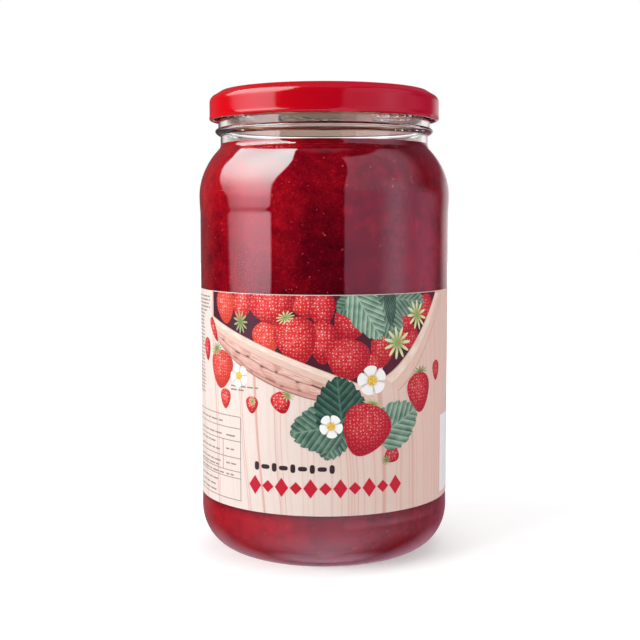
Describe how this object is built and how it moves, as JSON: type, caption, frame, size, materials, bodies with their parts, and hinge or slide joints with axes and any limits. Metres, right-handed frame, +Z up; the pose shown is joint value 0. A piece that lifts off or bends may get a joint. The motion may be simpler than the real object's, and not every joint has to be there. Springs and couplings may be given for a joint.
{
  "type": "jam jar",
  "caption": "Tall twist-off glass jar filled with red berry jam, with a red metal lid and a wrap-round printed paper label.",
  "frame": {"origin": "middle of the ring on the underside that the jar stands on", "axes": "+Z up along the jar's axis; the front of the label faces -Y"},
  "size_m": [0.0932, 0.0932, 0.1696],
  "materials": {
    "clear_glass": "clear moulded glass",
    "red_lacquer": "gloss red lacquer on tinplate",
    "berry_jam": "wet, dark red fruit jam",
    "label_paper": "coated label paper, semi-gloss"
  },
  "bodies": {
    "root": {"jar": "clear_glass", "lid": "red_lacquer", "jam": "berry_jam", "label": "label_paper"}
  },
  "joints": []
}
